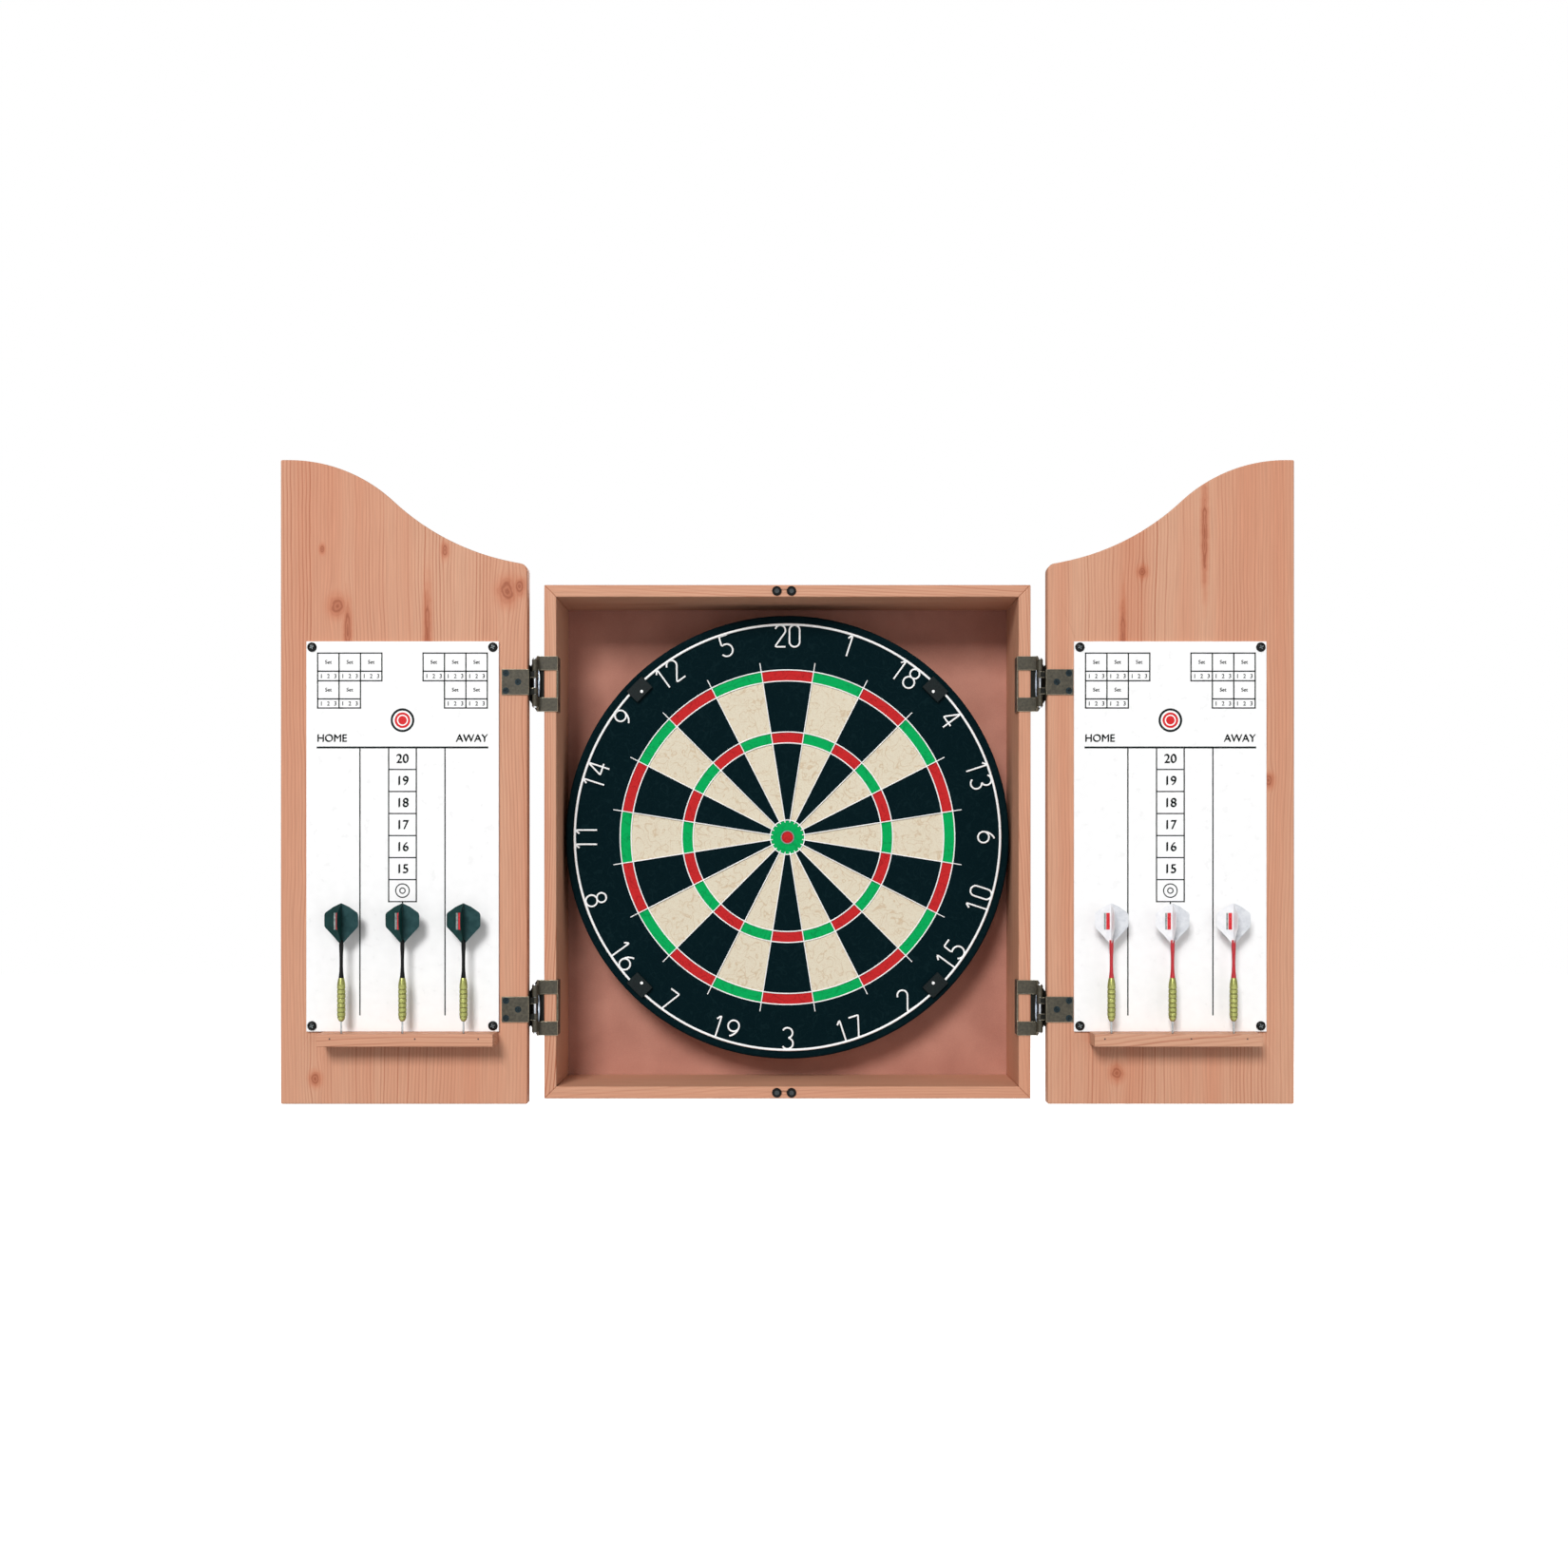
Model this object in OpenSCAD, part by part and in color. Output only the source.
// Wall cabinet for a dart board, drawn with both doors standing open.
// X runs along the wall, Y into the wall, Z up. Y = 0 is the wall and Z = 0 the middle of the cabinet.

/* [Cabinet] */
// Outside width of the cabinet
cabinet_w = 481; // [479:1:520]
// Outside height of the cabinet
cabinet_h = 508; // [480:1:560]
// Depth of the cabinet without its doors
cabinet_d = 98; // [92:1:120]
// Thickness of the side, top and bottom boards
wall_t = 12; // [11:0.5:14]
// Thickness of the back panel
back_t = 5; // [4:0.5:6]
// Distance between the wall fixing holes across the cabinet
fixing_dx = 320; // [260:10:340]
// Distance between the wall fixing holes up the cabinet
fixing_dz = 240; // [200:10:260]
// Diameter of the wall fixing holes
fixing_d = 5.5; // [4:0.5:7]

/* [Doors] */
// Width of one door
door_w = 241.5; // [240:0.5:241.5]
// Thickness of a door
door_t = 16; // [14:1:16]
// Height of a door's high edge above the middle of the cabinet
door_top = 373.5; // [340:0.5:400]
// How far a door hangs below the cabinet
door_drop = 2.8; // [0:0.2:6]
// Radius of the convex part of the door's top curve
ogee_convex_r = 150; // [120:5:160]
// Radius of the concave part of the door's top curve
ogee_concave_r = 237; // [200:5:240]
// Steepest slope of the top curve, in degrees
ogee_steep = 43; // [38:1:44]

/* [Hinges] */
// Distance of the hinge pin outside the cabinet's side
pin_out = 7.75; // [7.5:0.25:9]
// Distance from the hinge pin to the door's edge
pin_to_door = 6; // [6:0.25:7]
// Height of the upper hinges above the middle of the cabinet
upper_hinge_z = 156; // [120:1:170]
// Height of the lower hinges, below the middle
lower_hinge_z = -164; // [-175:1:-130]
// Thickness of the hinge sheet
leaf_t = 1.5; // [1:0.25:1.5]
// Radius of a hinge pin
pin_r = 1.5; // [1.25:0.05:1.6]

/* [Dart board] */
// Diameter of the dart board
board_d = 451; // [451]
// Thickness of the dart board
board_t = 38; // [38]
// Height of the board's centre above the middle of the cabinet
board_z = 5; // [0:1:8]
// Gap between the board and the back panel
board_gap = 8; // [8:1:12]
// Outer radius of the double ring
double_r = 170; // [170]
// Outer radius of the treble ring
treble_r = 107; // [107]
// Width of the double and treble rings
ring_w = 11.2; // [8:0.2:12]

/* [Scoreboards and darts] */
// Width of a scoreboard
score_w = 188; // [180:1:190]
// Height of a scoreboard
score_h = 381; // [360:1:390]
// Thickness of a scoreboard
score_t = 3; // [2:0.5:3]
// How far the dart rail stands out from the door
rail_depth = 28; // [24:1:28]
// Height of the dart rail
rail_h = 12; // [12:1:15]
// Distance between the darts in a rail
dart_pitch = 59; // [54:1:59]

/* [Hidden] */
$fn = 64;
SIDES = ["left", "right"];
LEVELS = ["upper", "lower"];
DARTS = ["inner", "middle", "outer"];

fit = 0.05;              // clearance between a screw or pin and its hole
over = 1;                // how far a cutting shape runs past a face
half_w = cabinet_w / 2;
half_h = cabinet_h / 2;
front_y = -cabinet_d;
rebate = wall_t / 2;     // width of the rebate that holds the back panel
back_slack = 0.5;        // play of the back panel in its rebate
door_gap = 2;            // gap between the cabinet's front and a closed door
pin_x = half_w + pin_out;
pin_y = front_y - door_gap - door_t / 2;
door_edge_x = pin_x + pin_to_door;
door_in_y = pin_y - door_t / 2;
door_bottom = -half_h - door_drop;
score_top = 195.5;
score_y = door_in_y - score_t;
rail_top = score_top - score_h;
screw_inset = 5.7;       // scoreboard screws in from the board's corners

// Per side, [left, right]: the two doors were fitted by hand and differ a little
score_from = [27.5, 25.5];                       // hinge edge to scoreboard
rail_from = [29, 41];                            // hinge edge to dart rail
rail_len = [170, 162];
nail_at = [[43, 104, 186], [51, 134, 188]];      // nails, from the hinge edge

// Dart sizes
dart_from = 58.5;        // hinge edge to the first dart
dart_out = 21;           // dart axis to the door's face
tip_z = rail_top - 10;
barrel_z = rail_top + 11.8;
barrel_len = 42;
shaft_z = barrel_z + barrel_len;
shaft_len = 36.5;
flight_z = shaft_z + 33.5;
flight_len = 38.5;
flight_half = 16.3;
vane_t = 0.5;
slot_t = 0.7;
point_r = 0.9;
point_hole_r = 1.3;

// Hinge leaf sizes, measured from the pin
knuckle_r = pin_r + 1.25;
arm_low = 13.5;          // height of the window between the arms, halved
arm_high = 27.25;
flange_depth = 18;
wing_back = 1;           // the wing lies this far behind the cabinet's front, clear of the turning door
plate_len = 25;
plate_half = 12.5;
frame_knuckle = [11.5, 23];
door_knuckle = [5, 11];
frame_screw_z = 19;
frame_screw_y = pin_y + door_t / 2 + door_gap + 11;
door_screws = [[9, 0], [20.8, 8.5], [20.8, -8.5]];  // from the door's edge and the hinge's middle

// Dart board sizes
board_back_y = -back_t - board_gap;
board_face_y = board_back_y - board_t;
fibre_t = 8;
hoop_t = 1;
wire = 1.4;
ring_wire = 2.6;
number_r = 216;
digit_h = 22;
digit_pitch = 14.5;
clip_at = [204.5, 220];  // inner and outer reach of a number ring clip
clip_nail_r = 209;
bull_rings = [6.35, 17.5];
numbers = [20, 1, 18, 4, 13, 6, 10, 15, 2, 17, 3, 19, 7, 16, 8, 11, 14, 9, 12, 5];

pine = "burlywood";
bronze = "dimgray";

// ---- helpers ----

// Extrudes an outline drawn in X and Z from y0 back to y1
module along_y(y0, y1) {
    translate([0, y1, 0])
        rotate([90, 0, 0])
            linear_extrude(y1 - y0)
                children();
}

// Box from its two corners
module slab(lo, hi) {
    translate(lo)
        cube(hi - lo);
}

// Turns a shape drawn for the right-hand side into the one for side s (0 left, 1 right)
module on_side(s) {
    mirror([s == 0 ? 1 : 0, 0, 0])
        children();
}

// Countersunk screw with its flat top at z = 0 and its tip down; grow widens it for its hole
module flush_screw(head_r, shank_r, length, grow = 0) {
    difference() {
        rotate_extrude()
            polygon([
                [0, grow > 0 ? over : 0],
                [head_r + grow, grow > 0 ? over : 0],
                [head_r + grow, 0],
                [shank_r + grow, shank_r - head_r],
                [shank_r + grow, shank_r - length - grow],
                [0, -length - grow]
            ]);
        if (grow == 0)
            cross_recess(head_r);
    }
}

// Raised-head screw with the underside of its head at z = 0
module cup_screw(head_r, head_t, shank_r, length) {
    difference() {
        rotate_extrude()
            polygon([
                [0, head_t],
                [head_r * 0.6, head_t],
                [head_r, head_t * 0.35],
                [head_r, 0],
                [shank_r, 0],
                [shank_r, shank_r - length],
                [0, -length]
            ]);
        translate([0, 0, head_t])
            cross_recess(head_r);
    }
}

module cross_recess(head_r) {
    for (turn = [0, 90])
        rotate([0, 0, turn])
            cube([head_r * 1.1, head_r * 0.24, head_r * 0.5], center = true);
}

module screw_hole(shank_r, length) {
    translate([0, 0, -length - fit])
        cylinder(r = shank_r + fit, h = length + fit + over);
}

function arc(c, r, a0, a1, n) = [for (i = [0 : n]) let (a = a0 + (a1 - a0) * i / n) c + r * [cos(a), sin(a)]];

// ---- cabinet ----

// One board of the mitred frame, lying along the top; half_len and reach are its outer size
module mitred(half_len, reach, thick) {
    polygon([
        [-half_len, reach],
        [half_len, reach],
        [half_len - thick, reach - thick],
        [thick - half_len, reach - thick]
    ]);
}

module frame_board(half_len, reach) {
    along_y(front_y, -back_t)
        mitred(half_len, reach, wall_t);
    along_y(-back_t, 0)
        mitred(half_len, reach, wall_t - rebate);
}

back_screw_r = 1.1;
back_screw_head = 2.4;
back_screw_len = 18;
back_screws = concat(
    [for (sx = [-1, 1]) for (z = [-170, 0, 170]) [sx * (half_w - wall_t + rebate / 2), z]],
    [for (sz = [-1, 1]) for (x = [-155, 0, 155]) [x, sz * (half_h - wall_t + rebate / 2)]]
);

// Puts a shape that points down at each screw of the back panel, pointing out of the wall
module at_back_screws() {
    for (p = back_screws)
        translate([p[0], 0, p[1]])
            rotate([-90, 0, 0])
                children();
}

bumper_x = [-10.5, 4];
bumper_r = 4.7;
bumper_proud = 1.7;
bumper_stem_r = 2;
bumper_stem = 9;

module at_bumpers(sz) {
    for (x = bumper_x)
        translate([x, front_y, sz * (half_h - wall_t / 2)])
            rotate([90, 0, 0])
                children();
}

module bumper_hole() {
    translate([0, 0, -bumper_stem - fit])
        cylinder(r = bumper_stem_r + fit, h = bumper_stem + fit + over);
}

module cabinet_side(s) {
    color(pine)
        on_side(s)
            difference() {
                rotate([0, 90, 0])
                    frame_board(half_h, half_w);
                at_back_screws()
                    screw_hole(back_screw_r, back_screw_len);
                at_frame_screws()
                    screw_hole(frame_screw_r, frame_screw_len);
            }
}

module cabinet_cap(sz) {
    color(pine)
        difference() {
            mirror([0, 0, sz < 0 ? 1 : 0])
                frame_board(half_w, half_h);
            at_back_screws()
                screw_hole(back_screw_r, back_screw_len);
            at_bumpers(sz)
                bumper_hole();
        }
}

module back_panel() {
    w = cabinet_w - 2 * (wall_t - rebate + back_slack);
    h = cabinet_h - 2 * (wall_t - rebate + back_slack);
    color("rosybrown")
        difference() {
            slab([-w / 2, -back_t, -h / 2], [w / 2, 0, h / 2]);
            for (sx = [-1, 1])
                for (sz = [-1, 1])
                    translate([sx * fixing_dx / 2, over, sz * fixing_dz / 2])
                        rotate([90, 0, 0])
                            cylinder(d = fixing_d, h = back_t + 2 * over);
            at_back_screws()
                flush_screw(back_screw_head, back_screw_r, back_screw_len, fit);
            at_bracket_screws()
                screw_hole(bracket_screw_r, bracket_screw_len);
        }
}

module back_panel_screws() {
    color("silver")
        at_back_screws()
            flush_screw(back_screw_head, back_screw_r, back_screw_len);
}

module door_bumpers() {
    color("#222222")
        for (sz = [-1, 1])
            at_bumpers(sz)
                rotate_extrude()
                    polygon([
                        [0, bumper_proud - 0.5],
                        [1.8, bumper_proud],
                        [bumper_r - 0.9, bumper_proud],
                        [bumper_r, bumper_proud - 0.9],
                        [bumper_r, 0],
                        [bumper_stem_r, 0],
                        [bumper_stem_r, -bumper_stem],
                        [0, -bumper_stem]
                    ]);
}

// ---- hanging bracket ----

bracket_half = 14;       // half width of the raised middle
foot_half = 27;
bracket_high = 22;
bracket_t = 1.5;
bracket_front = -back_t - 6;
bracket_screw_r = 1.5;
bracket_screw_len = 4.5;
bracket_screw_at = [21, 14];
hang_r = 2.2;

module at_bracket_screws() {
    for (sx = [-1, 1])
        for (sz = [-1, 1])
            translate([sx * bracket_screw_at[0], -back_t - bracket_t, board_z + sz * bracket_screw_at[1]])
                rotate([90, 0, 0])
                    children();
}

module hanging_bracket() {
    y0 = -back_t;
    hat = [
        [-foot_half, y0], [-foot_half, y0 - bracket_t], [-bracket_half, y0 - bracket_t],
        [-bracket_half, bracket_front], [bracket_half, bracket_front], [bracket_half, y0 - bracket_t],
        [foot_half, y0 - bracket_t], [foot_half, y0], [bracket_half - bracket_t, y0],
        [bracket_half - bracket_t, bracket_front + bracket_t],
        [bracket_t - bracket_half, bracket_front + bracket_t], [bracket_t - bracket_half, y0]
    ];
    color("lightsteelblue")
        difference() {
            translate([0, 0, board_z - bracket_high])
                linear_extrude(2 * bracket_high)
                    polygon(hat);
            along_y(bracket_front - over, bracket_front + bracket_t + over)
                union() {
                    translate([0, board_z])
                        circle(r = hang_r + fit);
                    translate([-hang_r - fit, board_z])
                        square([2 * (hang_r + fit), bracket_high + over]);
                }
            at_bracket_screws()
                screw_hole(bracket_screw_r, bracket_screw_len);
        }
}

module bracket_screws() {
    color("silver")
        at_bracket_screws()
            cup_screw(3, 1.6, bracket_screw_r, bracket_screw_len);
}

// ---- hinges ----

frame_screw_r = 1.4;
frame_screw_head = 3;
frame_screw_len = 10;
door_screw_r = 1.5;
door_screw_head = 3.2;
door_screw_len = 12;

// Moves a shape drawn around the pin to hinge level l (0 upper, 1 lower) on the right-hand side
module at_hinge(l) {
    translate([pin_x, pin_y, l == 0 ? upper_hinge_z : lower_hinge_z])
        children();
}

// Screws of both frame leaves on the right-hand side, pointing into the cabinet's side
module at_frame_screws() {
    for (z = [upper_hinge_z, lower_hinge_z])
        for (dz = [-frame_screw_z, frame_screw_z])
            translate([half_w - wall_t - leaf_t, frame_screw_y, z + dz])
                rotate([0, -90, 0])
                    children();
}

// Screws of the door leaf at hinge level l on the right-hand side, pointing into the door
module at_door_screws(l) {
    for (p = door_screws)
        translate([door_edge_x + p[0], door_in_y - leaf_t, (l == 0 ? upper_hinge_z : lower_hinge_z) + p[1]])
            rotate([90, 0, 0])
                children();
}

module knuckles(span) {
    for (sz = [0, 1])
        mirror([0, 0, sz])
            translate([0, 0, span[0]])
                cylinder(r = knuckle_r, h = span[1] - span[0]);
}

module pin_bore() {
    translate([0, 0, -arm_high])
        cylinder(r = pin_r + fit, h = 2 * arm_high);
}

module frame_leaf(s, l) {
    edge = door_t / 2 + door_gap;            // cabinet's front, measured from the pin
    inner = -pin_out - wall_t - leaf_t;      // inner side of the wrapped flange
    color(bronze)
        on_side(s)
            difference() {
                at_hinge(l)
                    difference() {
                        union() {
                            difference() {
                                union() {
                                    slab([inner, edge - leaf_t, -arm_high],
                                         [leaf_t - knuckle_r, edge, arm_high]);
                                    slab([inner, edge - leaf_t, -arm_high],
                                         [inner + leaf_t, edge + flange_depth, arm_high]);
                                    frame_web(edge + wing_back);
                                }
                                slab([inner - over, -knuckle_r - over, -arm_low],
                                     [over, edge + wing_back, arm_low]);
                            }
                            frame_wing(edge + wing_back);
                            knuckles(frame_knuckle);
                        }
                        pin_bore();
                    }
                at_frame_screws()
                    flush_screw(frame_screw_head, frame_screw_r, frame_screw_len, fit);
            }
}

// Flared sheet behind the pin, between the cabinet's side and the open door's edge
module frame_wing(y) {
    tip = pin_to_door + 0.5;
    tip_half = 16.5;
    root = 0.2 - pin_out;
    along_y(y, y + leaf_t)
        polygon([
            [root, -arm_high], [-0.5, -arm_high], [tip, -tip_half],
            [tip, tip_half], [-0.5, arm_high], [root, arm_high]
        ]);
}

// Web that carries the frame knuckles, narrower at the pin than at the cabinet
module frame_web(edge) {
    clear = 2.6;             // stays behind the heads of the pin
    slope = 5.5;
    translate([-knuckle_r, 0, 0])
        rotate([90, 0, 90])
            linear_extrude(leaf_t)
                polygon([
                    [0, -frame_knuckle[1]], [clear, -frame_knuckle[1]], [slope, -arm_high], [edge, -arm_high],
                    [edge, arm_high], [slope, arm_high], [clear, frame_knuckle[1]], [0, frame_knuckle[1]]
                ]);
}

module door_leaf(s, l) {
    face = -door_t / 2;                      // door's inner face, measured from the pin
    wide = 17.5;                             // half height of the web by the pin
    neck = [-4, 3];                          // where the web widens and where it ends
    color(bronze)
        on_side(s)
            difference() {
                at_hinge(l)
                    difference() {
                        union() {
                            slab([pin_to_door - leaf_t, face - leaf_t, -plate_half],
                                 [pin_to_door + plate_len, face, plate_half]);
                            translate([pin_to_door - leaf_t, 0, 0])
                                rotate([90, 0, 90])
                                    linear_extrude(leaf_t)
                                        polygon([
                                            [face - leaf_t, -plate_half], [neck[0], -plate_half], [0, -wide],
                                            [neck[1], -wide], [neck[1], wide], [0, wide],
                                            [neck[0], plate_half], [face - leaf_t, plate_half]
                                        ]);
                            for (z = [door_knuckle[0], -door_knuckle[1]])
                                slab([0, -knuckle_r, z],
                                     [pin_to_door - leaf_t / 2, leaf_t - knuckle_r,
                                      z + door_knuckle[1] - door_knuckle[0]]);
                            knuckles(door_knuckle);
                        }
                        pin_bore();
                    }
                at_door_screws(l)
                    flush_screw(door_screw_head, door_screw_r, door_screw_len, fit);
            }
}

module hinge_frame_screws() {
    color("darkslategray")
        for (s = [0, 1])
            on_side(s)
                at_frame_screws()
                    flush_screw(frame_screw_head, frame_screw_r, frame_screw_len);
}

module door_hinge_screws(s) {
    color("darkslategray")
        on_side(s)
            for (l = [0, 1])
                at_door_screws(l)
                    flush_screw(door_screw_head, door_screw_r, door_screw_len);
}

module hinge_pins() {
    reach = frame_knuckle[1] + 0.1;
    head = 1.2;              // length of a riveted end
    crown = pin_r + 0.3;
    rivet = pin_r + 0.7;
    color("silver")
        for (s = [0, 1])
            on_side(s)
                for (l = [0, 1])
                    at_hinge(l)
                        rotate_extrude()
                            polygon([
                                [0, -reach - head], [crown, -reach - head], [rivet, -reach],
                                [pin_r, -reach], [pin_r, reach],
                                [rivet, reach], [crown, reach + head], [0, reach + head]
                            ]);
}

module hinge_springs() {
    spring_t = 0.8;
    spring_y = [3.5, 8.4];   // from the pin, towards the cabinet
    spring_half = 16;
    color("gainsboro")
        for (s = [0, 1])
            on_side(s)
                for (l = [0, 1])
                    at_hinge(l)
                        slab([-knuckle_r - spring_t, spring_y[0], -spring_half],
                             [-knuckle_r, spring_y[1], spring_half]);
}

// ---- dart board ----

// Turns a solid of revolution drawn along Z so that it points out of the wall at the board's centre
module at_board() {
    translate([0, 0, board_z])
        rotate([90, 0, 0])
            children();
}

module at_clips(r) {
    for (a = [45 : 90 : 315])
        rotate([0, 0, a])
            translate([r, 0, 0])
                children();
}

nail_r = 0.8;
nail_len = 20;
nail_head = [1.5, 0.6];  // radius and thickness
clip_front = -board_face_y + 4.2;
hang_grip = 16;          // how deep the hanging screw goes into the sisal
rim_bevel = 2;
hoop_lip = 5;            // bare rim of sisal in front of the hoop
hoop_back = 1;           // the hoop starts this far in front of the board's back
pad_r = 9;
pad_orbit = 190;

module hang_hole() {
    cylinder(r = hang_r + fit, h = -board_back_y + fibre_t + hang_grip + 2 * over);
}

module sisal_face() {
    r = board_d / 2;
    back = -board_back_y + fibre_t;
    front = -board_face_y;
    color("#102a2c")
        at_board()
            difference() {
                rotate_extrude()
                    polygon([
                        [0, back], [r - hoop_t - fit, back], [r - hoop_t - fit, front - hoop_lip],
                        [r, front - hoop_lip + fit], [r, front - rim_bevel], [r - rim_bevel, front], [0, front]
                    ]);
                hang_hole();
                at_clips(clip_nail_r)
                    translate([0, 0, clip_front - nail_len - fit])
                        cylinder(r = nail_r + fit, h = nail_len + over);
            }
}

module fibreboard_back() {
    color("saddlebrown")
        at_board()
            difference() {
                translate([0, 0, -board_back_y])
                    cylinder(r = board_d / 2 - hoop_t - fit, h = fibre_t);
                hang_hole();
            }
}

module steel_hoop() {
    low = -board_back_y + hoop_back;
    color("#303436")
        at_board()
            difference() {
                translate([0, 0, low])
                    cylinder(r = board_d / 2, h = -board_face_y - hoop_lip - low);
                translate([0, 0, low - over])
                    cylinder(r = board_d / 2 - hoop_t, h = board_t);
            }
}

module wire_ring(r, w) {
    difference() {
        circle(r = r + w / 2);
        circle(r = r - w / 2);
    }
}

module spider() {
    reach = double_r + 9;     // the spokes overrun the double ring
    start = bull_rings[1] - 2;
    color("white")
        translate([0, 0, board_z])
            along_y(board_face_y - wire, board_face_y)
                union() {
                    for (r = concat(bull_rings, [treble_r - ring_w, treble_r, double_r - ring_w, double_r]))
                        wire_ring(r, wire);
                    for (a = [9 : 18 : 351])
                        rotate(a)
                            translate([start, -wire / 2])
                                square([reach - start, wire]);
                }
}

// Bent wire digits, each a list of strokes in millimetres
digit_strokes = [
    [concat(arc([0, 16.8], 5.2, 0, 180, 6), arc([0, 5.2], 5.2, 180, 360, 6), [[5.2, 16.8]])],
    [[[0, 0], [0, 22], [-4, 17.5]]],
    [concat(arc([0, 16.8], 5.2, 170, -35, 7), [[-5.2, 0], [5.2, 0]])],
    [arc([0, 16.6], 5.2, 150, -80, 7), arc([0, 5.8], 5.8, 80, -150, 7)],
    [[[2.5, 0], [2.5, 22], [-6, 7], [6, 7]]],
    [concat([[5, 21.5], [-3.5, 21.5]], arc([0, 6.5], 6.5, 125, -150, 7))],
    [arc([0, 5.8], 5.6, 0, 360, 9), concat(arc([6.9, 5.8], 12.5, 180, 120, 3), [[4, 21]])],
    [[[-5, 21.5], [5, 21.5], [-1, 0]]],
    [arc([0, 16.8], 4.8, 0, 360, 8), arc([0, 6.2], 5.8, 0, 360, 9)],
    [arc([0, 16.2], 5.6, 0, 360, 9), concat(arc([-6.9, 16.2], 12.5, 0, -60, 3), [[-4, 1]])]
];

module stroke(points, w) {
    for (i = [0 : len(points) - 2]) {
        run = points[i + 1] - points[i];
        translate(points[i])
            rotate(atan2(run[1], run[0]))
                translate([-w / 2, -w / 2])
                    square([norm(run) + w, w]);
    }
}

// Number k of the ring, counted clockwise from the top; those below the middle stand upright
module number(k) {
    value = numbers[k];
    digits = value > 9 ? [floor(value / 10), value % 10] : [value];
    upright = k > 5 && k < 15;
    rotate(-18 * k)
        translate([0, number_r - digit_h / 2 - wire / 2])
            rotate(upright ? 180 : 0)
                for (i = [0 : len(digits) - 1])
                    translate([(i - (len(digits) - 1) / 2) * digit_pitch, -digit_h / 2])
                        for (line = digit_strokes[digits[i]])
                            stroke(line, wire);
}

module number_ring() {
    color("white")
        translate([0, 0, board_z])
            along_y(board_face_y - ring_wire, board_face_y)
                union() {
                    wire_ring(number_r, ring_wire);
                    for (k = [0 : len(numbers) - 1])
                        number(k);
                }
}

module number_ring_clips() {
    half = 11;
    color("#182628")
        at_board()
            difference() {
                at_clips(0)
                    slab([clip_at[0], -half, -board_face_y], [clip_at[1], half, clip_front]);
                translate([0, 0, -board_face_y - over])
                    difference() {
                        cylinder(r = number_r + ring_wire / 2 + fit, h = ring_wire + over + fit);
                        translate([0, 0, -over])
                            cylinder(r = number_r - ring_wire / 2 - fit, h = ring_wire + 4 * over);
                    }
                at_clips(clip_nail_r)
                    cylinder(r = nail_r + fit, h = clip_front + over);
            }
}

module number_ring_nails() {
    color("white")
        at_board()
            at_clips(clip_nail_r)
                union() {
                    translate([0, 0, clip_front - nail_len])
                        cylinder(r = nail_r, h = nail_len);
                    translate([0, 0, clip_front])
                        cylinder(r = nail_head[0], h = nail_head[1]);
                }
}

module hanging_screw() {
    head_r = 4.6;
    head_back = back_t + 1.8;
    head_front = -bracket_front - bracket_t - 0.3;
    tip = -board_back_y + fibre_t + hang_grip;
    color("silver")
        at_board()
            union() {
                translate([0, 0, head_back])
                    cylinder(r = head_r, h = head_front - head_back);
                translate([0, 0, head_back])
                    cylinder(r = hang_r, h = tip - head_back);
            }
}

module spacer_pads() {
    clear = 0.4;
    color("#3a3a3a")
        at_board()
            for (a = [90, 210, 330])
                rotate([0, 0, a])
                    translate([pad_orbit, 0, back_t + clear])
                        cylinder(r = pad_r, h = board_gap - clear);
}

// ---- doors ----

ogee_flat = 8;
ogee_end = 11;           // slope at the hinge edge, in degrees
corner_r = 8;
ogee_overlap = 2;        // the concave arc starts this many degrees past the steepest point

// Outline of a door, drawn with its hinge edge at x = 0
function door_outline() =
    let (
        s1 = ogee_flat + ogee_convex_r * sin(ogee_steep),
        z1 = door_top - ogee_convex_r * (1 - cos(ogee_steep)),
        s2 = s1 + ogee_concave_r * (sin(ogee_steep) - sin(ogee_end)),
        z2 = z1 - ogee_concave_r * (cos(ogee_end) - cos(ogee_steep)),
        low = z2 - (door_w - s2) * tan(ogee_end),
        corner = [corner_r, low + corner_r * tan(ogee_end) - corner_r / cos(ogee_end)]
    )
    concat(
        [[0, door_bottom], [door_w, door_bottom], [door_w, door_top]],
        arc([door_w - ogee_flat, door_top - ogee_convex_r], ogee_convex_r, 90, 90 + ogee_steep, 22),
        arc([door_w - s1 - ogee_concave_r * sin(ogee_steep), z1 + ogee_concave_r * cos(ogee_steep)],
            ogee_concave_r, ogee_steep - 90 - ogee_overlap, ogee_end - 90, 15),
        arc(corner, corner_r, 90 + ogee_end, 180, 6)
    );

// Moves a shape drawn from the door's hinge edge to the open door on side s
module on_door(s) {
    on_side(s)
        translate([door_edge_x, 0, 0])
            children();
}

module at_score_screws(s) {
    for (u = [screw_inset, score_w - screw_inset])
        for (z = [score_top - screw_inset, score_top - score_h + screw_inset])
            translate([score_from[s] + u, score_y, z])
                rotate([90, 0, 0])
                    children();
}

module at_nails(s) {
    for (u = nail_at[s])
        translate([u, door_in_y - rail_depth, rail_top - nail_drop])
            rotate([90, 0, 0])
                children();
}

score_screw_r = 1.5;
score_screw_len = 13;
score_screw_head = [4.6, 2.2];  // radius and thickness
rail_nail_r = 0.8;
rail_nail_len = 40;
nail_drop = 4.5;         // nails below the rail's top

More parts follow.
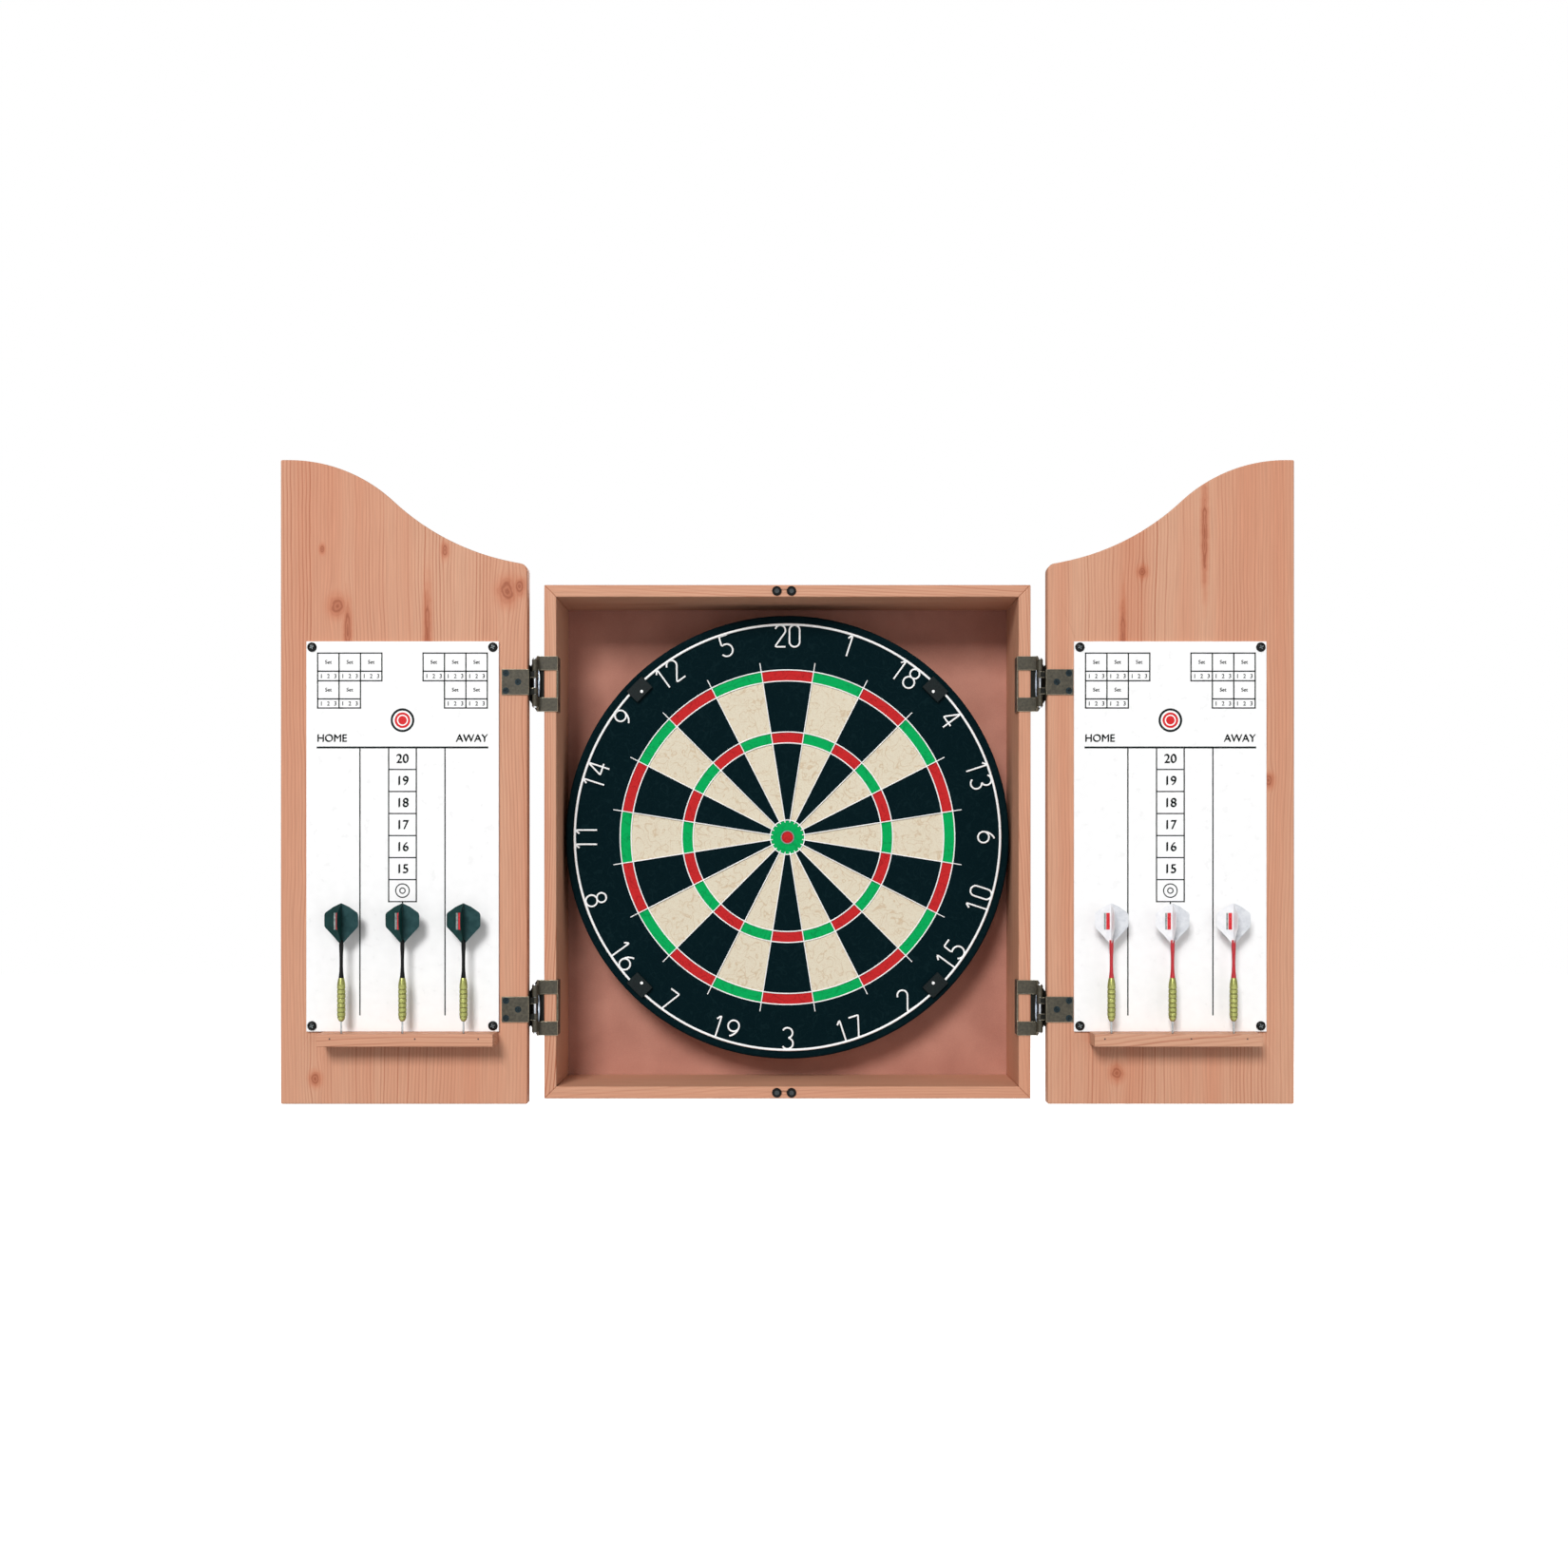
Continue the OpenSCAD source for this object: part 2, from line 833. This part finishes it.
module door_panel(s) {
    color(pine)
        difference() {
            on_door(s)
                difference() {
                    along_y(door_in_y, door_in_y + door_t)
                        polygon(door_outline());
                    at_score_screws(s)
                        screw_hole(score_screw_r, score_screw_len);
                    at_nails(s)
                        screw_hole(rail_nail_r, rail_nail_len);
                }
            on_side(s)
                for (l = [0, 1])
                    at_door_screws(l)
                        flush_screw(door_screw_head, door_screw_r, door_screw_len, fit);
        }
}

module scoreboard(s) {
    color("white")
        on_door(s)
            difference() {
                slab([score_from[s], score_y, score_top - score_h],
                     [score_from[s] + score_w, door_in_y, score_top]);
                at_score_screws(s)
                    screw_hole(score_screw_r, score_screw_len);
            }
}

module scoreboard_screws(s) {
    color("#151515")
        on_door(s)
            at_score_screws(s)
                cup_screw(score_screw_head[0], score_screw_head[1], score_screw_r, score_screw_len);
}

// Middle of dart d in the rail, measured from the door's hinge edge
function dart_u(d) = dart_from + d * dart_pitch;

module dart_rail(s) {
    color(pine)
        on_door(s)
            difference() {
                slab([rail_from[s], door_in_y - rail_depth, rail_top - rail_h],
                     [rail_from[s] + rail_len[s], door_in_y, rail_top]);
                for (d = [0 : len(DARTS) - 1])
                    translate([dart_u(d), door_in_y - dart_out, tip_z - 0.5])
                        cylinder(r = point_hole_r, h = rail_h);
                at_nails(s)
                    screw_hole(rail_nail_r, rail_nail_len);
            }
}

module rail_nails(s) {
    color("dimgray")
        on_door(s)
            at_nails(s)
                translate([0, 0, -rail_nail_len])
                    cylinder(r = rail_nail_r, h = rail_nail_len);
}

// ---- darts ----

module at_dart(s, d) {
    on_door(s)
        translate([dart_u(d), door_in_y - dart_out, 0])
            children();
}

socket_r = 1.3;
socket_len = 7;
point_grip = 9;

module dart_barrel(s, d) {
    groove = 0.35;
    r = 4;
    grooves = [for (i = [0 : 5]) barrel_z + 8 + i * 4.4];
    at_dart(s, d) {
        color("goldenrod")
            difference() {
                rotate_extrude()
                    polygon(concat(
                        [[0, barrel_z], [1.6, barrel_z], [3, barrel_z + 1.2], [r, barrel_z + 4]],
                        [for (z = grooves)
                            each [[r, z], [r - groove, z + 0.3], [r - groove, z + 1.3], [r, z + 1.6]]],
                        [[r, shaft_z - 5], [2.6, shaft_z], [0, shaft_z]]
                    ));
                translate([0, 0, barrel_z - over])
                    cylinder(r = point_r + fit, h = point_grip + over);
                translate([0, 0, shaft_z - socket_len])
                    cylinder(r = socket_r, h = socket_len + over);
            }
        color("silver")
            rotate_extrude()
                polygon([
                    [0, tip_z], [0.3, tip_z + 0.2], [point_r, tip_z + 5],
                    [point_r, barrel_z + point_grip - fit], [0, barrel_z + point_grip - fit]
                ]);
    }
}

module dart_shaft(s, d) {
    top = shaft_z + shaft_len;
    color(s == 0 ? "#1c1c1c" : "crimson")
        at_dart(s, d)
            difference() {
                rotate_extrude()
                    polygon([
                        [0, shaft_z - socket_len + 0.5], [socket_r - fit, shaft_z - socket_len + 0.5],
                        [socket_r - fit, shaft_z], [2.5, shaft_z], [2.3, shaft_z + 2], [1.7, shaft_z + 8],
                        [1.7, shaft_z + 16], [2.1, top - 9], [1.9, top], [0, top]
                    ]);
                for (turn = [0, 90])
                    rotate([0, 0, turn])
                        slab([-4, -slot_t / 2, top - 8], [4, slot_t / 2, top + over]);
            }
}

// Half outline of a flight: [distance from the axis, height above the flight's foot]
vane = [[1.6, -4], [1.6, 0], [flight_half - 1, 18], [flight_half, 20.5], [flight_half, 28],
        [flight_half - 1, 30.5], [0, flight_len]];

module dart_flight(s, d) {
    outline = concat(
        vane,
        [for (i = [len(vane) - 2 : -1 : 0]) [-vane[i][0], vane[i][1]]]
    );
    color(s == 0 ? "#14302a" : "whitesmoke")
        at_dart(s, d)
            translate([0, 0, flight_z])
                for (turn = [0, 90])
                    rotate([90, 0, turn])
                        translate([0, 0, -vane_t / 2])
                            linear_extrude(vane_t)
                                polygon(outline);
}

// ---- nodes ----

cabinet_side(0);  // cabinet_left_side
cabinet_side(1);  // cabinet_right_side
cabinet_cap(1);  // cabinet_top
cabinet_cap(-1);  // cabinet_bottom
back_panel();
back_panel_screws();
door_bumpers();
hinge_frame_screws();
hinge_pins();
hinge_springs();
hanging_bracket();
bracket_screws();
sisal_face();
fibreboard_back();
steel_hoop();
spider();
number_ring();
number_ring_clips();
number_ring_nails();
hanging_screw();
spacer_pads();
for (s = [0, 1]) {
    for (l = [0, 1]) {
        frame_leaf(s, l);
        door_leaf(s, l);
    }
    door_panel(s);
    scoreboard(s);
    scoreboard_screws(s);
    dart_rail(s);
    rail_nails(s);
    door_hinge_screws(s);
    for (d = [0 : len(DARTS) - 1]) {
        dart_barrel(s, d);
        dart_shaft(s, d);
        dart_flight(s, d);
    }
}
